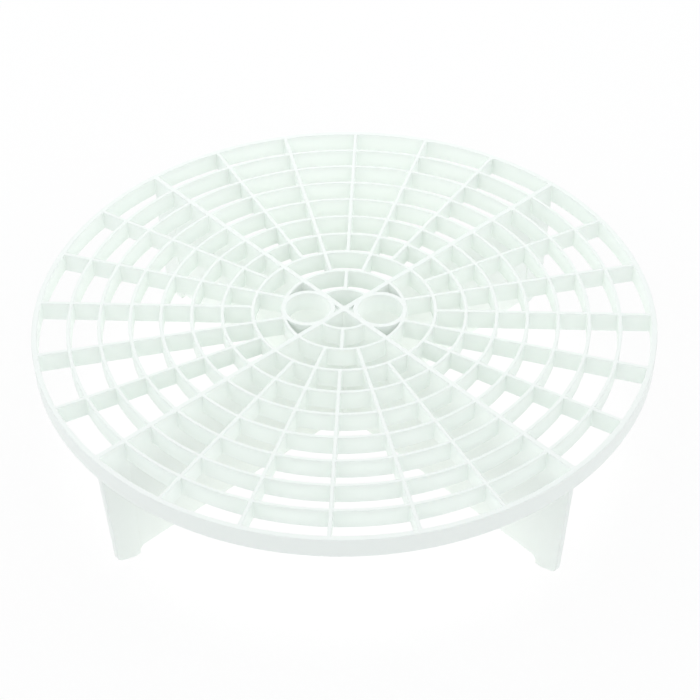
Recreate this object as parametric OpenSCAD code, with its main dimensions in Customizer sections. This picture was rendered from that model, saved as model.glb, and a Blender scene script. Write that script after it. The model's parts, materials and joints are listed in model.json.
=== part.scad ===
// Round grit trap that stands in a wash bucket, in white plastic. A flat grid of rings and
// spokes inside a rim is carried by four crossed vanes, which stand on a leg at each end.
// Two finger tubes beside the centre lift it out. All of it is one moulding, shown here as
// the walls that meet in it. +Z is up, +X is right, -Y is the front, and the origin is the
// middle of the floor under the feet.

/* [Overall] */
// Height from the floor to the top of the grid
height = 63.5; // [45:0.5:90]
// Depth of the rim, the rings, the spokes and the finger tubes
grid_depth = 9; // [5:0.5:14]

/* [Rim] */
// Outside diameter of the rim
rim_d = 258.4; // [200:0.2:320]
// Wall of the rim at its top edge
rim_wall_top = 2.3; // [1.6:0.1:3.6]
// Wall of the rim at its bottom edge
rim_wall_bottom = 2; // [1.4:0.1:3.6]

/* [Rings] */
// Number of full rings inside the rim
ring_count = 8; // [5:1:10]
// Wall of a ring at its top edge
ring_wall_top = 1.5; // [1:0.1:2.4]
// Wall of a ring at its bottom edge
ring_wall_bottom = 1.3; // [0.8:0.1:2.4]

/* [Spokes] */
// Number of spokes in each quarter between two vanes
spokes_per_quarter = 5; // [3:2:7]
// Wall of a spoke at its top edge
spoke_wall_top = 1.6; // [1:0.1:2.4]
// Wall of a spoke at its bottom edge
spoke_wall_bottom = 1.4; // [0.8:0.1:2.4]

/* [Vanes] */
// Wall of a vane at the top of the grid
vane_wall_top = 2.2; // [1.4:0.1:2.8]
// Wall of a vane at its bottom edge
vane_wall_bottom = 1.6; // [1:0.1:2.8]
// Step from the corner between two vanes out to the post where they meet
post_step = 0.55; // [0.1:0.05:1.5]
// Depth of the two small pockets between the post and the finger tubes
pocket_depth = 1.2; // [0.5:0.1:4]

/* [Legs] */
// Thickness of a leg
leg_wall = 2.8; // [2:0.1:5]
// Width of a leg under the rim, measured towards the centre
leg_width = 13.5; // [10:0.1:24]
// Step from the outside of the rim in to the leg
leg_inset = 1.6; // [0.2:0.1:2.4]
// How far the leg's outer edge leans in on its way to the floor
leg_lean = 2.8; // [0:0.2:6]
// How far a leg reaches below the vanes
foot_drop = 3.2; // [1:0.2:8]
// Length of the flat sole at the inner end of a foot
sole_length = 3; // [2:0.2:8]
// How far the sole rises from there to the outer corner of the foot
toe_rise = 3; // [0:0.2:6]
// Radius of the outer corner of a foot
foot_corner_r = 3.5; // [1:0.5:5]
// Radius in which the inner edge of a foot runs up into the vane
foot_blend_r = 2.8; // [0.5:0.1:7]

/* [Finger tubes] */
// Wall of a finger tube
finger_tube_wall = 2.1; // [1:0.1:2.6]
// Wall left where a finger tube seats on the first ring and on the vanes
finger_seat_wall = 0.3; // [0.2:0.1:0.7]

/* [Hidden] */
$fn = 144;
// Distance that a cutting shape runs past the faces it cuts
over = 1;
corner_steps = 8;
blend_end_angle = 70;
plastic = [0.93, 0.96, 0.94];

rim_r = rim_d / 2;
grid_bottom = height - grid_depth;
quarter = 90;
spoke_step = quarter / (spokes_per_quarter + 1);
quarter_names = ["right", "back", "left", "front"];
corner_names = ["back_right", "back_left", "front_left", "front_right"];

// The walls under the rim end in the middle of its wall and are then trimmed by it.
wall_end_r = rim_r - min(rim_wall_top, rim_wall_bottom) / 2;

// The inner arcs and the rings lie at even steps from the centre to the inside of the rim.
ring_pitch = (rim_r - rim_wall_top) / (ring_count + 2);

leg_outer_r = rim_r - leg_inset;
leg_inner_r = leg_outer_r - leg_width;

// Two square walls cross at the centre, and the post covers the corners of the crossing.
centre_post_d = sqrt(2) * max(vane_wall_top, vane_wall_bottom) + 2 * post_step;

// A finger tube lies in the corner between two vanes and the first ring.
first_ring_inside = ring_r(1) - ring_wall_top / 2;
finger_x = (first_ring_inside + vane_wall_top / 2) / (1 + sin(quarter / 2));
finger_bore_r = first_ring_inside - finger_x - finger_seat_wall;
finger_tube_r = finger_bore_r + finger_tube_wall;

// The inner arcs are ring 0, and the full rings are numbered from 1 outwards.
function ring_r(k) = (k + 1) * ring_pitch;

// Every other spoke starts one ring further in.
function first_ring(i) = i % 2 == 0 ? 2 : 1;
function spoke_angle(q, i) = q * quarter + (i + 1) * spoke_step - quarter / 2;
function corner_angle(c) = (c + 0.5) * quarter;
function spoke_name(q, i) = str("spoke_", quarter_names[q], "_", i + 1);

// Half the wall at height z, for a wall that runs from bottom to the top of the grid
function half_wall(wall_top, wall_bottom, bottom, z) =
    (wall_bottom + (wall_top - wall_bottom) * (z - bottom) / (height - bottom)) / 2;

// Section of a drafted wall about a vertical line, run on past both edges by extra
module wall_section(wall_top, wall_bottom, bottom, extra) {
    low = bottom - extra;
    high = height + extra;
    half_low = half_wall(wall_top, wall_bottom, bottom, low);
    half_high = half_wall(wall_top, wall_bottom, bottom, high);
    polygon([[-half_low, low], [half_low, low], [half_high, high], [-half_high, high]]);
}

// Straight wall along +X
module straight_wall(from_r, to_r, wall_top, wall_bottom, bottom, extra) {
    translate([from_r, 0, 0])
        rotate([90, 0, 90])
            linear_extrude(to_r - from_r)
                wall_section(wall_top, wall_bottom, bottom, extra);
}

module vane_wall(extra = 0) {
    straight_wall(0, wall_end_r, vane_wall_top, vane_wall_bottom, foot_drop, extra);
}

// Wall of a spoke, from just inside its first ring
module spoke_wall(from_ring, to_r, extra = 0) {
    from_r = ring_r(from_ring) - max(ring_wall_top, ring_wall_bottom);
    straight_wall(from_r, to_r, spoke_wall_top, spoke_wall_bottom, grid_bottom, extra);
}

module ring_section(k) {
    translate([ring_r(k), 0])
        wall_section(ring_wall_top, ring_wall_bottom, grid_bottom, 0);
}

// The space from the inside face of ring k to another radius
module ring_side(k, far_r) {
    low = grid_bottom - over;
    high = height + over;
    low_r = ring_r(k) - half_wall(ring_wall_top, ring_wall_bottom, grid_bottom, low);
    high_r = ring_r(k) - half_wall(ring_wall_top, ring_wall_bottom, grid_bottom, high);
    rotate_extrude()
        polygon([[far_r, low], [low_r, low], [high_r, high], [far_r, high]]);
}

module inside_ring(k) {
    ring_side(k, 0);
}

module beyond_ring(k) {
    ring_side(k, ring_r(k) + ring_pitch);
}

module rim_wall() {
    rotate_extrude()
        polygon([
            [rim_r - rim_wall_bottom, grid_bottom],
            [rim_r, grid_bottom],
            [rim_r, height],
            [rim_r - rim_wall_top, height]
        ]);
}

module all_vane_walls() {
    for (c = [0 : 3])
        rotate(corner_angle(c))
            vane_wall(over);
}

module rim() {
    color(plastic)
        rim_wall();
}

// Web under the pocket between the post and a finger tube
module pocket_web() {
    reach = finger_x / 2;
    difference() {
        translate([0, 0, grid_bottom])
            linear_extrude(grid_depth - pocket_depth)
                polygon([[0, 0], [reach, -reach], [reach, reach]]);
        translate([finger_x, 0, grid_bottom - over])
            cylinder(r = finger_tube_r, h = grid_depth + 2 * over);
        all_vane_walls();
    }
}

// Round post where the vanes meet, with a web on each side
module centre_post() {
    color(plastic)
        union() {
            translate([0, 0, foot_drop])
                cylinder(d = centre_post_d, h = height - foot_drop);
            for (q = [0, 2])
                rotate(q * quarter)
                    pocket_web();
        }
}

// Full ring, in stretches between the walls that run through it
module ring(k) {
    color(plastic)
        difference() {
            rotate_extrude()
                ring_section(k);
            all_vane_walls();
            for (q = [0 : 3], i = [0 : spokes_per_quarter - 1])
                if (first_ring(i) <= k)
                    rotate(spoke_angle(q, i))
                        spoke_wall(first_ring(i), wall_end_r, over);
        }
}

// Arc inside the first ring, across one quarter
module inner_arc(q) {
    color(plastic)
        difference() {
            rotate((q - 0.5) * quarter)
                rotate_extrude(angle = quarter)
                    ring_section(0);
            all_vane_walls();
            rotate(q * quarter)
                spoke_wall(0, ring_r(1), over);
        }
}

// Short spoke from the inner arc to the first ring
module inner_spoke(q) {
    color(plastic)
        rotate(q * quarter)
            difference() {
                spoke_wall(0, ring_r(1));
                inside_ring(0);
                beyond_ring(1);
            }
}

// Finger tube, trimmed where it seats on the first ring and on the vanes
module finger_tube(q) {
    color(plastic)
        difference() {
            rotate(q * quarter)
                translate([finger_x, 0, grid_bottom])
                    cylinder(r = finger_tube_r, h = grid_depth);
            rotate(q * quarter)
                translate([finger_x, 0, grid_bottom - over])
                    cylinder(r = finger_bore_r, h = grid_depth + 2 * over);
            beyond_ring(1);
            all_vane_walls();
        }
}

// Spoke from the inside face of its first ring to the rim
module spoke(q, i) {
    color(plastic)
        rotate(spoke_angle(q, i))
            difference() {
                spoke_wall(first_ring(i), wall_end_r);
                inside_ring(first_ring(i));
                rim_wall();
            }
}

// Deep wall from the centre post to the rim, which ends at the leg below the grid
module vane(c) {
    color(plastic)
        rotate(corner_angle(c))
            difference() {
                vane_wall();
                translate([0, 0, foot_drop - over])
                    cylinder(d = centre_post_d, h = height - foot_drop + 2 * over);
                rim_wall();
                translate([leg_inner_r, -leg_wall, 0])
                    cube([rim_r - leg_inner_r, 2 * leg_wall, grid_bottom]);
            }
}

// Outline of a leg, as radius and height. The sole is flat at its inner end and then rises to
// a round outer corner, where it turns up into the leaning outer edge. The inner edge of the
// foot runs up into the vane in a hollow curve, which ends before it gets too thin to mould.
module leg_outline() {
    sole_end_r = leg_inner_r + sole_length;
    toe_r = leg_outer_r - leg_lean * (1 - toe_rise / grid_bottom);
    sole_angle = atan2(toe_rise, toe_r - sole_end_r);
    edge_angle = atan2(grid_bottom - toe_rise, leg_outer_r - toe_r);
    turn = edge_angle - sole_angle;
    run = foot_corner_r * tan(turn / 2);
    middle_r = toe_r - run * cos(sole_angle) - foot_corner_r * sin(sole_angle);
    middle_z = toe_rise - run * sin(sole_angle) + foot_corner_r * cos(sole_angle);
    corner = [for (i = [0 : corner_steps])
        let (a = sole_angle - quarter + turn * i / corner_steps)
            [middle_r + foot_corner_r * cos(a), middle_z + foot_corner_r * sin(a)]];
    sole = [[leg_inner_r, 0], [sole_end_r, 0]];
    top = [[leg_outer_r, grid_bottom], [leg_inner_r, grid_bottom], [leg_inner_r, foot_drop]];
    blend_r = min(foot_blend_r, 0.9 * foot_drop);
    blend = [for (i = [corner_steps : -1 : 0])
        let (a = blend_end_angle * i / corner_steps)
            [leg_inner_r - blend_r * (1 - cos(a)), foot_drop - blend_r * (1 - sin(a))]];
    blend_tip = [[blend[0][0], foot_drop]];
    polygon(concat(sole, corner, top, blend_tip, blend));
}

module leg(c) {
    color(plastic)
        rotate(corner_angle(c))
            rotate([90, 0, 0])
                translate([0, 0, -leg_wall / 2])
                    linear_extrude(leg_wall)
                        leg_outline();
}

rim();
centre_post();
for (k = [1 : ring_count])
    ring(k);
for (q = [1, 3])
    inner_arc(q);
for (q = [1, 3])
    inner_spoke(q);
for (q = [0, 2])
    finger_tube(q);
for (q = [0 : 3], i = [0 : spokes_per_quarter - 1])
    spoke(q, i);
for (c = [0 : 3])
    vane(c);
for (c = [0 : 3])
    leg(c);
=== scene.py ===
import json
import math

import bmesh
import bpy
from mathutils import Matrix, Vector


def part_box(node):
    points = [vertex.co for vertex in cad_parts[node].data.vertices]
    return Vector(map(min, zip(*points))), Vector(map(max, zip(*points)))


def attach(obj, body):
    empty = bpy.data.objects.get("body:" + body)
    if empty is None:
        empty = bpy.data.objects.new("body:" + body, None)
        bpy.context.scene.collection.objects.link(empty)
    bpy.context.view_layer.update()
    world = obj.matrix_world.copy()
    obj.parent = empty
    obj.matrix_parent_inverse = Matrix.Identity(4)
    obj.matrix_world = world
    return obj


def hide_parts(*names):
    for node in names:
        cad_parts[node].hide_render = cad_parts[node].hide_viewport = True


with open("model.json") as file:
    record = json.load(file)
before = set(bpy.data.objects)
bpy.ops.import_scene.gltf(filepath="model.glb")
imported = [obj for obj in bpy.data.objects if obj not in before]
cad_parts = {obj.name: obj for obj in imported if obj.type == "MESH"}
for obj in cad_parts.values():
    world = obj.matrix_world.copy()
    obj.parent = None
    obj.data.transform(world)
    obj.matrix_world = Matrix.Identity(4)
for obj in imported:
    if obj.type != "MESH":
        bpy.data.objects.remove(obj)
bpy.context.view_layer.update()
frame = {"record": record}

# Sizes of the moulding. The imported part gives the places. A pair is a wall's thickness at the top of the
# grid and at the wall's own bottom edge.
MM = 0.001
HAIR = 0.01 * MM  # how near to a height or a place counts as being there
mounts = {mount["name"]: mount for mount in frame["record"]["mounts"]}
GRID_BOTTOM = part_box("rim")[0].z
GRID_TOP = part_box("rim")[1].z
VANE_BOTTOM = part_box("vane_back_right")[0].z
RIM_R = mounts["rim_outside"]["dims"]["r_mm"] * MM
FINGER_R = mounts["finger_hole_right"]["dims"]["r_mm"] * MM
FINGER_X = mounts["finger_hole_right"]["pos_m"][0]

RIM_WALL = (2.3 * MM, 2.0 * MM)
RING_WALL = (1.5 * MM, 1.3 * MM)
SPOKE_WALL = (1.6 * MM, 1.4 * MM)
VANE_WALL = (2.2 * MM, 1.6 * MM)
TUBE_WALL = 2.1 * MM
LEG_WALL = 2.8 * MM
POST_STEP = 0.55 * MM
POST_R = VANE_WALL[0] / math.sqrt(2) + POST_STEP
VANE_START = 1.2 * MM
VANE_IN_LEG = 1 * MM
POCKET_DEPTH = 1.2 * MM

RING_COUNT = 8
RING_STEP = (RIM_R - RIM_WALL[0]) / (RING_COUNT + 2)
SPOKES_PER_QUARTER = 5
LEG_INSET = 1.6 * MM
LEG_WIDTH = 13.5 * MM
LEG_OUTER_R = RIM_R - LEG_INSET
LEG_INNER_R = LEG_OUTER_R - LEG_WIDTH
LEG_LEAN = 2.8 * MM
SOLE_LENGTH = 3 * MM
TOE_RISE = 3 * MM
FOOT_CORNER_R = 3.5 * MM
FOOT_BLEND_R = 2.8 * MM
FOOT_BLEND_STEPS = 7
FOOT_BLEND_TURN = math.radians(10)
FOOT_BLEND_THINNING = 0.97
LEG_TAPER = 4 * MM
LEG_TOP_SHARE = 0.97

# Finish of the moulding: the roundings of its edges and of the corners where its walls meet
EDGE_R = 0.35 * MM
BOTTOM_EDGE_R = 0.8 * EDGE_R
RIM_EDGE_R = 0.4 * MM
LEG_EDGE_R = 0.5 * MM
CORNER_R = 0.25 * MM
CORNER_SUNK = 0.3 * MM
SMOOTH_ANGLE = math.radians(35)

# Steps all the way round, and in the quarter turn of an inner arc
RING_STEPS = 192
SMALL_RING_STEPS = 96
TUBE_STEPS = 72
POST_STEPS = 32
ARC_STEPS = 24

# The walls run through each other here, so each kind ends a little short of the last.
VANE_TOP = GRID_TOP - 0.02 * MM
RING_TOP = GRID_TOP - 0.04 * MM
SPOKE_TOP = GRID_TOP - 0.06 * MM
TUBE_TOP = GRID_TOP - 0.08 * MM
POST_TOP = GRID_TOP - 0.05 * MM
RING_BOTTOM = GRID_BOTTOM + 0.02 * MM
SPOKE_BOTTOM = GRID_BOTTOM + 0.04 * MM
TUBE_BOTTOM = GRID_BOTTOM + 0.06 * MM
WEB_BOTTOM = GRID_BOTTOM + 0.08 * MM
LEG_TOP = GRID_BOTTOM + 0.05 * MM

QUARTERS = {"right": 0, "back": 90, "left": 180, "front": 270}
CORNERS = {"back_right": 45, "back_left": 135, "front_left": 225, "front_right": 315}

# Plastic: its two tints, and how finely its marks lie, per metre. Ring marks are given across the wall,
# around it (for each radian) and up it.
DEEP_TINT = (0.917, 0.978, 0.932, 1)
PALE_TINT = (0.953, 0.992, 0.962, 1)
RING_MARKS = (2600, 5, 900)
WALL_MARKS = (1500, 1500, 35)
CLOUD_SCALE = 17
SPECK_SCALE = 420
GRAIN_SCALE = 1900

# Floor and light. A level of 1 is full white, and the glow fades out between its two radii, in metres.
WHITE = (1, 1, 1, 1)
FLOOR_COLOUR = (0.97, 0.975, 0.97, 1)
FLOOR_WHITENESS = 0.9
GLOW_TINT = (1, 0.966, 0.928)
GLOW_LEVEL = 0.46
GLOW_R = (0.09, 0.14)
TENT_TINT = (0.997, 1, 1.022, 1)
CEILING_LEVEL = 0.48
FRONT_LEVEL = 1.27
SIDE_LEVEL = 1.53
LOW_WALL_LEVELS = (0.3, 1.55)
LEFT_SHIFT = 0.01


class Shade:
    """A value that changes over a surface. Sums of these add the Math nodes."""

    def __init__(self, finish, socket):
        self.finish = finish
        self.socket = socket

    def sum(self, operation, first, second):
        node = self.finish.add("ShaderNodeMath", {"operation": operation}, {0: first, 1: second})
        return Shade(self.finish, node.outputs[0])

    def __add__(self, other):
        return self.sum("ADD", self, other)

    def __sub__(self, other):
        return self.sum("SUBTRACT", self, other)

    def __rsub__(self, other):
        return self.sum("SUBTRACT", other, self)

    def __mul__(self, other):
        return self.sum("MULTIPLY", self, other)

    def __abs__(self):
        return self.sum("ABSOLUTE", self, 0)

    def at_least(self, other):
        return self.sum("MAXIMUM", self, other)

    __radd__ = __add__
    __rmul__ = __mul__


class Finish:
    """The nodes of one material, or of the world."""

    def __init__(self, tree):
        self.tree = tree
        tree.nodes.clear()

    def add(self, kind, settings, sockets):
        node = self.tree.nodes.new(kind)
        for name, value in settings.items():
            setattr(node, name, value)
        for name, value in sockets.items():
            if isinstance(value, Shade):
                self.tree.links.new(value.socket, node.inputs[name])
            elif isinstance(value, bpy.types.NodeSocket):
                self.tree.links.new(value, node.inputs[name])
            else:
                node.inputs[name].default_value = value
        return node

    def shade(self, kind, settings, sockets, output=0):
        return Shade(self, self.add(kind, settings, sockets).outputs[output])

    def ramp(self, value, start, end, first, last):
        """A level that goes smoothly from first to last while the value goes from start to end."""
        return self.shade("ShaderNodeMapRange", {"interpolation_type": "SMOOTHSTEP"}, {
            "Value": value, "From Min": start, "From Max": end, "To Min": first, "To Max": last})

    def seen(self):
        """1 for what is seen by the camera or in a reflection, 0 for the light that falls on things"""
        path = self.add("ShaderNodeLightPath", {}, {}).outputs
        seen = Shade(self, path["Is Camera Ray"])
        return seen.at_least(path["Is Glossy Ray"]).at_least(path["Is Transmission Ray"])


def new_material(name):
    material = bpy.data.materials.new(name)
    material.use_nodes = True
    return material, Finish(material.node_tree)


def white_plastic(name, marks):
    """Satin white moulded plastic with a faint cool tint. The marks are "rings", fine lines left
    by turning the mould, or "walls", lines left where a wall is drawn out of it."""
    material, finish = new_material(name)
    place = finish.add("ShaderNodeTexCoord", {}, {}).outputs["Object"]

    def noise(vector, scale, detail, roughness=0.5):
        sockets = {"Vector": vector, "Scale": scale, "Detail": detail, "Roughness": roughness}
        return finish.shade("ShaderNodeTexNoise", {}, sockets)

    if marks == "rings":
        flat = finish.add("ShaderNodeVectorMath", {"operation": "MULTIPLY"}, {0: place, 1: (1, 1, 0)})
        radius = finish.shade("ShaderNodeVectorMath", {"operation": "LENGTH"}, {0: flat.outputs[0]}, 1)
        axes = finish.add("ShaderNodeSeparateXYZ", {}, {0: place})
        height = Shade(finish, axes.outputs[2])
        along = finish.shade("ShaderNodeMath", {"operation": "ARCTAN2"}, {
            0: axes.outputs[1], 1: axes.outputs[0]})
        across, around, up = RING_MARKS
        lines = finish.add("ShaderNodeCombineXYZ", {}, {
            0: radius * across, 1: along * around, 2: height * up})
    else:
        lines = finish.add("ShaderNodeMapping", {}, {"Vector": place, "Scale": WALL_MARKS})
    mark = noise(lines.outputs[0], 1, 2)
    cloud = noise(place, CLOUD_SCALE, 3)
    speck = noise(place, SPECK_SCALE, 2)
    grain = noise(place, GRAIN_SCALE, 2, 0.6)

    tint = cloud * 0.75 + speck * 0.25
    colour = finish.add("ShaderNodeMix", {"data_type": "RGBA"}, {
        0: tint, 6: DEEP_TINT, 7: PALE_TINT}).outputs[2]
    roughness = 0.30 + cloud * 0.10 + mark * 0.12
    relief = grain * 0.6 + mark * 0.4
    bump = finish.add("ShaderNodeBump", {}, {"Height": relief, "Strength": 0.22, "Distance": 0.00006})
    shader = finish.add("ShaderNodeBsdfPrincipled", {}, {
        "Base Color": colour,
        "Roughness": roughness,
        "IOR": 1.49,
        "Normal": bump.outputs[0],
    })
    finish.add("ShaderNodeOutputMaterial", {}, {"Surface": shader.outputs[0]})
    return material


ring_plastic = white_plastic("white_plastic_rings", "rings")
wall_plastic = white_plastic("white_plastic_walls", "walls")


def deselect():
    if bpy.context.object and bpy.context.object.mode != "OBJECT":
        bpy.ops.object.mode_set(mode="OBJECT")
    bpy.ops.object.select_all(action="DESELECT")


def name_piece(name):
    piece = bpy.context.object
    piece.name = name
    piece.data.name = name
    return piece


def block(name, low, high):
    """A block between two corners, left open in edit mode."""
    deselect()
    low, high = Vector(low), Vector(high)
    bpy.ops.mesh.primitive_cube_add(size=1, location=(low + high) / 2)
    bpy.ops.transform.resize(value=high - low)
    bpy.ops.object.transform_apply(location=True, rotation=True, scale=True)
    piece = name_piece(name)
    bpy.ops.object.mode_set(mode="EDIT")
    return piece


def pick(piece, kind, test):
    """Selects the corners, edges or faces that pass the test."""
    bpy.ops.mesh.select_mode(type=kind)
    bpy.ops.mesh.select_all(action="DESELECT")
    mesh = bmesh.from_edit_mesh(piece.data)
    for part in {"VERT": mesh.verts, "EDGE": mesh.edges, "FACE": mesh.faces}[kind]:
        if test(part):
            part.select_set(True)
    mesh.select_flush_mode()
    bmesh.update_edit_mesh(piece.data)


def middle(part):
    return sum((corner.co for corner in part.verts), Vector()) / len(part.verts)


def lengthwise(edge, axis):
    """Whether an edge runs along an axis, given as 0, 1 or 2."""
    run = (edge.verts[1].co - edge.verts[0].co).normalized()
    return abs(run[axis]) > 0.9


def round_corners(piece, radius, steps, test):
    """Rounds the corners of a flat section."""
    pick(piece, "VERT", test)
    bpy.ops.mesh.bevel(offset=radius, segments=steps, affect="VERTICES", profile=0.5)


def round_edges(piece, radius, steps, test):
    pick(piece, "EDGE", test)
    bpy.ops.mesh.bevel(offset=radius, segments=steps, affect="EDGES", profile=0.5, clamp_overlap=True)


def close_up():
    """Merges doubled corners and turns the faces outwards."""
    bpy.ops.mesh.select_mode(type="VERT")
    bpy.ops.mesh.select_all(action="SELECT")
    bpy.ops.mesh.remove_doubles(threshold=0.002 * MM)
    bpy.ops.mesh.normals_make_consistent(inside=False)


def finish_piece(piece, material, *nodes):
    """Smooth shading with flat faces kept flat, and the piece's place in the part"""
    deselect()
    piece.select_set(True)
    bpy.context.view_layer.objects.active = piece
    bpy.ops.object.shade_smooth_by_angle(angle=SMOOTH_ANGLE)
    bpy.ops.object.modifier_add(type="WEIGHTED_NORMAL")
    piece.modifiers[-1].keep_sharp = True
    bpy.ops.object.modifier_apply(modifier=piece.modifiers[-1].name)
    piece.data.materials.clear()
    piece.data.materials.append(material)
    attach(piece, "root")
    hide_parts(*nodes)


def turned_copy(piece, name, angle):
    """A copy with its own mesh, turned about the middle of the grid by an angle in degrees."""
    deselect()
    piece.select_set(True)
    bpy.context.view_layer.objects.active = piece
    bpy.ops.object.duplicate(linked=False)
    twin = name_piece(name)
    twin.rotation_euler.z = math.radians(angle)
    bpy.ops.object.transform_apply(location=False, rotation=True, scale=False)
    return twin


def remove(piece):
    deselect()
    mesh = piece.data
    bpy.data.objects.remove(piece)
    bpy.data.meshes.remove(mesh)


def ring_section(name, inner, outer, bottom, top, edge_r):
    """Upright section of a ring wall at y = 0, with round edges. Inner and outer are each a pair:
    the radius at the top and the radius at the bottom."""
    deselect()
    bpy.ops.mesh.primitive_plane_add(size=1, rotation=(math.pi / 2, 0, 0))
    bpy.ops.object.transform_apply(location=True, rotation=True, scale=True)
    piece = name_piece(name)
    bpy.ops.object.mode_set(mode="EDIT")
    bpy.ops.mesh.select_all(action="SELECT")
    bpy.ops.transform.resize(value=(outer[0] - inner[0], 1, top - bottom), center_override=(0, 0, 0))
    bpy.ops.transform.translate(value=((outer[0] + inner[0]) / 2, 0, (top + bottom) / 2))
    half_way = (top + bottom) / 2
    centre = (outer[0] + inner[0]) / 2
    pick(piece, "VERT", lambda v: v.co.z < half_way and v.co.x < centre)
    bpy.ops.transform.translate(value=(inner[1] - inner[0], 0, 0))
    pick(piece, "VERT", lambda v: v.co.z < half_way and v.co.x > centre)
    bpy.ops.transform.translate(value=(outer[1] - outer[0], 0, 0))
    round_corners(piece, edge_r, 4, lambda v: v.co.z > half_way)
    round_corners(piece, BOTTOM_EDGE_R, 3, lambda v: v.co.z < bottom + HAIR)
    return piece


def spin_ring(piece, steps, centre=(0, 0, 0)):
    """Spins the section's outline all the way round."""
    bpy.ops.mesh.select_mode(type="FACE")
    bpy.ops.mesh.select_all(action="SELECT")
    bpy.ops.mesh.delete(type="ONLY_FACE")
    bpy.ops.mesh.select_mode(type="VERT")
    bpy.ops.mesh.select_all(action="SELECT")
    bpy.ops.mesh.spin(steps=steps, angle=2 * math.pi, center=centre, axis=(0, 0, 1))
    close_up()


def ring_radius(k):
    """The inner arcs are ring 0, and the full rings are numbered from 1 outwards."""
    return (k + 1) * RING_STEP


def wall_faces(radius, wall):
    """Radii of the inner and outer face of a ring wall, each at the top and at the bottom"""
    return [radius - width / 2 for width in wall], [radius + width / 2 for width in wall]


def straight_wall(name, start, end, bottom, top, wall):
    """Wall along +X that gets thinner towards its bottom edge"""
    piece = block(name, (start, -wall[0] / 2, bottom), (end, wall[0] / 2, top))
    half_way = (bottom + top) / 2
    pick(piece, "VERT", lambda v: v.co.z < half_way)
    bpy.ops.transform.resize(value=(1, wall[1] / wall[0], 1), center_override=(0, 0, 0))
    return piece


def corner_fillet():
    """The rounding in the corner of two walls, with its corner on the middle line, along +X and +Y.
    It is sunk into both walls and ends where the round top edges begin."""
    low, high = GRID_BOTTOM + EDGE_R, GRID_TOP - EDGE_R
    piece = block("corner_fillet", (-CORNER_SUNK, -CORNER_SUNK, low), (CORNER_R, CORNER_R, high))
    deselect()
    bpy.ops.mesh.primitive_cylinder_add(
        vertices=16, radius=CORNER_R, depth=2 * (high - low),
        location=(CORNER_R, CORNER_R, (low + high) / 2))
    cutter = name_piece("corner_cutter")
    deselect()
    piece.select_set(True)
    bpy.context.view_layer.objects.active = piece
    bpy.ops.object.modifier_add(type="BOOLEAN")
    cut = piece.modifiers[-1]
    cut.operation = "DIFFERENCE"
    cut.solver = "EXACT"
    cut.object = cutter
    bpy.ops.object.modifier_apply(modifier=cut.name)
    remove(cutter)
    return piece


def add_fillets(piece, fillet, corners):
    """Joins a fillet to the piece in each corner, given as the wall's angle in degrees, the radius and
    the side step of the corner, and the quarter turn that points the fillet away from both walls."""
    deselect()
    for angle, radius, side, turn in corners:
        twin = fillet.copy()
        twin.data = fillet.data.copy()
        bpy.context.collection.objects.link(twin)
        place = Matrix.Translation((math.sqrt(radius**2 - side**2), side, 0))
        twin.matrix_world = (Matrix.Rotation(math.radians(angle), 4, "Z") @ place
                             @ Matrix.Rotation(math.radians(turn), 4, "Z"))
        twin.select_set(True)
    piece.select_set(True)
    bpy.context.view_layer.objects.active = piece
    bpy.ops.object.join()


def corners_outside(angle, radius, wall):
    """Both corners of a straight wall with the outer face of a ring"""
    return [(angle, radius, wall / 2, 0), (angle, radius, -wall / 2, -90)]


def corners_inside(angle, radius, wall):
    """Both corners of a straight wall with the inner face of a ring"""
    return [(angle, radius, wall / 2, 90), (angle, radius, -wall / 2, 180)]


# Angles of the spokes, and the ring that each one starts from: every other one starts further in.
spokes = []
for quarter, quarter_angle in QUARTERS.items():
    for i in range(SPOKES_PER_QUARTER):
        angle = quarter_angle + (i + 1) * 90 / (SPOKES_PER_QUARTER + 1) - 45
        spokes.append((f"spoke_{quarter}_{i + 1}", angle, 2 if i % 2 == 0 else 1))

fillet = corner_fillet()

# Rim
rim = ring_section("rim_hoop", (RIM_R - RIM_WALL[0], RIM_R - RIM_WALL[1]), (RIM_R, RIM_R),
                   GRID_BOTTOM, GRID_TOP, RIM_EDGE_R)
spin_ring(rim, RING_STEPS)
corners = []
for _, angle, _ in spokes:
    corners += corners_inside(angle, RIM_R - RIM_WALL[0], SPOKE_WALL[0])
for angle in CORNERS.values():
    corners += corners_inside(angle, RIM_R - RIM_WALL[0], VANE_WALL[0])
add_fillets(rim, fillet, corners)
finish_piece(rim, ring_plastic, "rim")

# Rings
for k in range(1, RING_COUNT + 1):
    inner, outer = wall_faces(ring_radius(k), RING_WALL)
    ring = ring_section(f"ring_wall_{k}", inner, outer, RING_BOTTOM, RING_TOP, EDGE_R)
    spin_ring(ring, SMALL_RING_STEPS if k < 3 else RING_STEPS)
    corners = []
    for angle in CORNERS.values():
        corners += corners_outside(angle, outer[0], VANE_WALL[0])
        corners += corners_inside(angle, inner[0], VANE_WALL[0])
    for _, angle, first in spokes:
        if first <= k:
            corners += corners_outside(angle, outer[0], SPOKE_WALL[0])
        if first < k:
            corners += corners_inside(angle, inner[0], SPOKE_WALL[0])
    if k == 1:
        for quarter in ("back", "front"):
            corners += corners_inside(QUARTERS[quarter], inner[0], SPOKE_WALL[0])
    add_fillets(ring, fillet, corners)
    finish_piece(ring, ring_plastic, f"ring_{k}")

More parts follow.
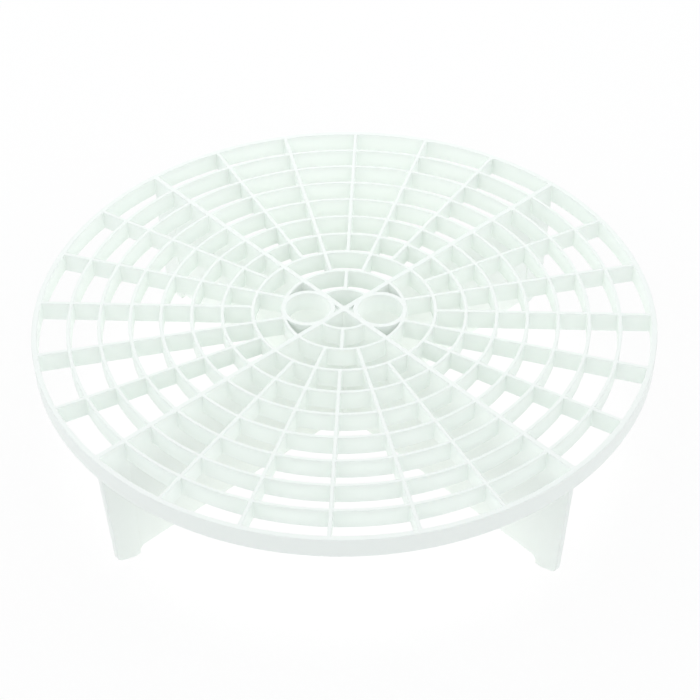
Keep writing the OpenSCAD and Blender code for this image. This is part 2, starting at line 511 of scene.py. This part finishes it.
# Inner arcs, from the middle of one vane to the middle of the next
inner, outer = wall_faces(ring_radius(0), RING_WALL)
arc = ring_section("inner_arc", inner, outer, RING_BOTTOM, RING_TOP, EDGE_R)
bpy.ops.mesh.select_mode(type="FACE")
bpy.ops.mesh.select_all(action="SELECT")
bpy.ops.mesh.spin(steps=ARC_STEPS, angle=math.radians(90), center=(0, 0, 0), axis=(0, 0, 1))
close_up()
deselect()
for quarter in ("back", "front"):
    angle = QUARTERS[quarter]
    twin = turned_copy(arc, f"inner_arc_wall_{quarter}", angle + 45)
    corners = corners_outside(angle, outer[0], SPOKE_WALL[0])
    for side, vane_angle in enumerate((angle - 45, angle + 45)):
        corners.append(corners_outside(vane_angle, outer[0], VANE_WALL[0])[side])
        corners.append(corners_inside(vane_angle, inner[0], VANE_WALL[0])[side])
    add_fillets(twin, fillet, corners)
    finish_piece(twin, ring_plastic, f"inner_arc_{quarter}")
remove(arc)
remove(fillet)


def spoke_wall(name, start, end):
    """Spoke along +X between two radii, with round edges"""
    piece = straight_wall(name, start, end, SPOKE_BOTTOM, SPOKE_TOP, SPOKE_WALL)
    round_edges(piece, EDGE_R, 3, lambda e: lengthwise(e, 0) and middle(e).z > SPOKE_TOP - HAIR)
    round_edges(piece, BOTTOM_EDGE_R, 3, lambda e: lengthwise(e, 0) and middle(e).z < SPOKE_BOTTOM + HAIR)
    deselect()
    return piece


# Spokes in two lengths, each made once along +X and turned to its places
for first in (1, 2):
    model = spoke_wall("spoke_model", ring_radius(first), RIM_R - RIM_WALL[1] / 2)
    for name, angle, start in spokes:
        if start == first:
            finish_piece(turned_copy(model, f"{name}_wall", angle), wall_plastic, name)
    remove(model)

model = spoke_wall("spoke_model", ring_radius(0), ring_radius(1))
for quarter in ("back", "front"):
    twin = turned_copy(model, f"inner_spoke_{quarter}_wall", QUARTERS[quarter])
    finish_piece(twin, wall_plastic, f"inner_spoke_{quarter}")
remove(model)

# Vanes: the deep wall ends inside the leg, and above the legs it runs on into the rim.
vane_end = LEG_INNER_R + VANE_IN_LEG
model = straight_wall("vane_model", VANE_START, vane_end, VANE_BOTTOM, VANE_TOP, VANE_WALL)
bpy.ops.mesh.select_all(action="SELECT")
bpy.ops.mesh.bisect(plane_co=(0, 0, GRID_BOTTOM + HAIR), plane_no=(0, 0, 1))
pick(model, "FACE", lambda f: f.normal.x > 0.9 and middle(f).z > GRID_BOTTOM)
reach = RIM_R - RIM_WALL[1] / 2 - vane_end
bpy.ops.mesh.extrude_region_move(TRANSFORM_OT_translate={"value": (reach, 0, 0)})
close_up()
round_edges(model, EDGE_R, 3, lambda e: lengthwise(e, 0) and middle(e).z > VANE_TOP - HAIR)
round_edges(model, EDGE_R, 3, lambda e: lengthwise(e, 0) and middle(e).z < VANE_BOTTOM + HAIR)
deselect()
for corner, angle in CORNERS.items():
    finish_piece(turned_copy(model, f"vane_wall_{corner}", angle), wall_plastic, f"vane_{corner}")
remove(model)

# Legs: a flat sole at the inner end, which then rises to a round outer corner and a leaning edge.
sole_end = LEG_INNER_R + SOLE_LENGTH
model = block("leg_model", (LEG_INNER_R, -LEG_WALL / 2, 0), (LEG_OUTER_R, LEG_WALL / 2, LEG_TOP))
pick(model, "VERT", lambda v: v.co.z < HAIR and v.co.x > LEG_OUTER_R - HAIR)
bpy.ops.transform.translate(value=(-LEG_LEAN, 0, 0))
bpy.ops.mesh.select_all(action="SELECT")
bpy.ops.mesh.bisect(plane_co=(sole_end, 0, 0), plane_no=(1, 0, 0))
pick(model, "VERT", lambda v: v.co.z < HAIR and v.co.x > sole_end + HAIR)
bpy.ops.transform.translate(value=(LEG_LEAN * TOE_RISE / GRID_BOTTOM, 0, TOE_RISE))
toe = Vector((LEG_OUTER_R - LEG_LEAN * (1 - TOE_RISE / GRID_BOTTOM), 0, TOE_RISE))
lean_angle = math.atan2(GRID_BOTTOM - TOE_RISE, LEG_OUTER_R - toe.x)
toe_angle = math.atan2(TOE_RISE, toe.x - sole_end)
round_edges(model, FOOT_CORNER_R * math.tan((lean_angle - toe_angle) / 2), 8,
            lambda e: lengthwise(e, 1) and (middle(e) - toe).length < 0.3 * MM)

# Towards the grid the leg gets nearly as thin as the vane that it carries.
vane_rise = (GRID_BOTTOM - VANE_BOTTOM) / (GRID_TOP - VANE_BOTTOM)
vane_wall_at_leg = VANE_WALL[1] + (VANE_WALL[0] - VANE_WALL[1]) * vane_rise
leg_share = LEG_TOP_SHARE * vane_wall_at_leg / LEG_WALL
bpy.ops.mesh.select_all(action="SELECT")
bpy.ops.mesh.bisect(plane_co=(0, 0, LEG_TOP - LEG_TAPER), plane_no=(0, 0, 1))
pick(model, "VERT", lambda v: v.co.z > LEG_TOP - HAIR)
bpy.ops.transform.resize(value=(1, leg_share, 1), center_override=(0, 0, 0))


def leg_outline_edge(edge):
    """Edges between a flat side of the leg and its outline, apart from the top"""
    sides = [abs(face.normal.y) > 0.9 for face in edge.link_faces]
    return len(sides) == 2 and sides[0] != sides[1] and middle(edge).z < LEG_TOP - HAIR


round_edges(model, LEG_EDGE_R, 3, leg_outline_edge)

# The inner edge of the foot runs up into the vane in a hollow curve and gets thinner on its way.
blend_top = VANE_BOTTOM + 0.4 * MM
bpy.ops.mesh.select_all(action="SELECT")
bpy.ops.mesh.bisect(plane_co=(0, 0, blend_top), plane_no=(0, 0, 1))
pick(model, "FACE",
     lambda f: f.normal.x < -0.9 and f.calc_area() > (1 * MM) ** 2 and middle(f).z < blend_top)
for i in range(FOOT_BLEND_STEPS):
    last, now = i * FOOT_BLEND_TURN, (i + 1) * FOOT_BLEND_TURN
    inwards = FOOT_BLEND_R * (math.cos(now) - math.cos(last))
    bpy.ops.mesh.extrude_region_move(TRANSFORM_OT_translate={"value": (inwards, 0, 0)})
    bottom = VANE_BOTTOM - FOOT_BLEND_R * (1 - math.sin(now))
    mesh = bmesh.from_edit_mesh(model.data)
    for corner in mesh.verts:
        if corner.select:
            corner.co.y *= FOOT_BLEND_THINNING
            if corner.co.z < blend_top - HAIR:
                corner.co.z = max(corner.co.z, bottom)
    bmesh.update_edit_mesh(model.data)
deselect()
for corner, angle in CORNERS.items():
    finish_piece(turned_copy(model, f"leg_plate_{corner}", angle), wall_plastic, f"leg_{corner}")
remove(model)

# Post where the vanes meet
deselect()
bpy.ops.mesh.primitive_cylinder_add(
    vertices=POST_STEPS, radius=POST_R, depth=POST_TOP - VANE_BOTTOM,
    location=(0, 0, (POST_TOP + VANE_BOTTOM) / 2))
bpy.ops.object.transform_apply(location=True, rotation=True, scale=True)
post = name_piece("post")
bpy.ops.object.mode_set(mode="EDIT")
round_edges(post, EDGE_R, 3, lambda e: abs(e.verts[0].co.z - e.verts[1].co.z) < HAIR)

# A web on each side of the post, under the shallow pocket beside each finger tube. It starts nearly as
# a point and runs on into the post, the vanes and the tube.
web_start = 0.5 * MM
web_end = FINGER_X - FINGER_R - TUBE_WALL / 2
web_half = web_end - web_start
web = block("web_model", (web_start, -web_half, WEB_BOTTOM), (web_end, web_half, GRID_TOP - POCKET_DEPTH))
pick(web, "VERT", lambda v: v.co.x < web_start + HAIR)
bpy.ops.transform.resize(value=(1, 0.05, 1), center_override=(0, 0, 0))
webs = [turned_copy(web, f"pocket_web_{quarter}", QUARTERS[quarter]) for quarter in ("right", "left")]
remove(web)
deselect()
for piece in (*webs, post):
    piece.select_set(True)
bpy.context.view_layer.objects.active = post
bpy.ops.object.join()
finish_piece(post, wall_plastic, "centre_post")

# Finger tubes
tube_r = FINGER_R + TUBE_WALL
tube = ring_section("finger_tube", (FINGER_R, FINGER_R), (tube_r, tube_r),
                    TUBE_BOTTOM, TUBE_TOP, EDGE_R)
bpy.ops.mesh.select_all(action="SELECT")
bpy.ops.transform.translate(value=(FINGER_X, 0, 0))
spin_ring(tube, TUBE_STEPS, (FINGER_X, 0, 0))
for quarter in ("right", "left"):
    twin = turned_copy(tube, f"finger_tube_wall_{quarter}", QUARTERS[quarter])
    finish_piece(twin, ring_plastic, f"finger_tube_{quarter}")
remove(tube)

# Floor, white where it shows and still shaded a little by the object. Below the object it glows, in
# place of the light that shines through thin walls.
material, finish = new_material("pale_floor")
cloth = finish.add("ShaderNodeBsdfDiffuse", {}, {"Color": FLOOR_COLOUR})
distance = finish.shade("ShaderNodeVectorMath", {"operation": "LENGTH"}, {
    0: finish.add("ShaderNodeTexCoord", {}, {}).outputs["Object"]}, 1)
under = finish.ramp(distance, *GLOW_R, GLOW_LEVEL, 0)
table = finish.add("ShaderNodeEmission", {}, {"Color": (*GLOW_TINT, 1), "Strength": under})
lit = finish.add("ShaderNodeAddShader", {}, {0: cloth.outputs[0], 1: table.outputs[0]})
white = finish.add("ShaderNodeEmission", {}, {"Color": WHITE, "Strength": 1})
mixed = finish.add("ShaderNodeMixShader", {}, {
    0: finish.seen() * FLOOR_WHITENESS, 1: lit.outputs[0], 2: white.outputs[0]})
finish.add("ShaderNodeOutputMaterial", {}, {"Surface": mixed.outputs[0]})
deselect()
bpy.ops.mesh.primitive_plane_add(size=6)
floor = name_piece("floor")
floor.data.materials.append(material)

# Soft light: a white tent, brightest in front and at the sides and a touch brighter on the left, and a
# soft box above the back
world = bpy.data.worlds.new("white_studio")
bpy.context.scene.world = world
world.use_nodes = True
finish = Finish(world.node_tree)
way = finish.add("ShaderNodeSeparateXYZ", {}, {
    0: finish.add("ShaderNodeTexCoord", {}, {}).outputs["Generated"]})
to_right, to_back, upward = [Shade(finish, output) for output in way.outputs]
to_front = (0 - to_back).at_least(0)
to_side = abs(to_right - LEFT_SHIFT)
clear_of_floor = finish.ramp(upward, 0.2, 0.5, 0, 1)
overhead = finish.ramp(upward, 0.65, 0.9, 0, 1)
ceiling = overhead * CEILING_LEVEL
panels = clear_of_floor * (1 - overhead) * (to_front * FRONT_LEVEL + to_side * SIDE_LEVEL)
low_walls = (1 - clear_of_floor) * to_side * to_side * finish.ramp(upward, 0, 0.25, *LOW_WALL_LEVELS)
tent = finish.add("ShaderNodeBackground", {}, {
    "Color": TENT_TINT, "Strength": ceiling + panels + low_walls})
backdrop = finish.add("ShaderNodeBackground", {}, {"Color": WHITE, "Strength": 1})
mixed = finish.add("ShaderNodeMixShader", {}, {
    0: finish.seen(), 1: tent.outputs[0], 2: backdrop.outputs[0]})
finish.add("ShaderNodeOutputWorld", {}, {"Surface": mixed.outputs[0]})


def round_lamp(name, place, aim, size, energy):
    """A round lamp at a place, in metres, with a diameter and a power in watts"""
    deselect()
    bpy.ops.object.light_add(type="AREA", location=place)
    lamp = bpy.context.object
    lamp.name = name
    lamp.rotation_euler = (Vector(aim) - lamp.location).to_track_quat("-Z", "Y").to_euler()
    lamp.data.shape = "DISK"
    lamp.data.size = size
    lamp.data.energy = energy
    return lamp


round_lamp("soft_box", (-0.05, 0.45, 0.65), (0, 0, GRID_TOP), 0.7, 1.36)

# A weak lamp below the grid shines straight up between the walls.
lamp = round_lamp("low_lamp", (0, 0.03, 0.002), (0, 0.03, 1), 0.11, 0.006)
lamp.data.spread = math.radians(80)
lamp.data.color = GLOW_TINT
lamp.visible_camera = False
lamp.visible_glossy = False

# Camera at the photograph's place
PLACE = Vector((0.02753, -0.53790, 0.51866))
AIM = Vector((0.00350, -0.02617, 0.06350))
ROLL = Matrix.Rotation(math.radians(-0.6), 3, "Z")
deselect()
bpy.ops.object.camera_add(location=PLACE)
camera = bpy.context.object
camera.name = "camera"
look = (AIM - PLACE).to_track_quat("-Z", "Y").to_matrix() @ ROLL
camera.matrix_world = Matrix.Translation(PLACE) @ look.to_4x4()
camera.data.sensor_width = 36
camera.data.lens = 87.097
camera.data.clip_start = 0.01
bpy.context.scene.camera = camera
bpy.context.scene.view_settings.view_transform = "Standard"
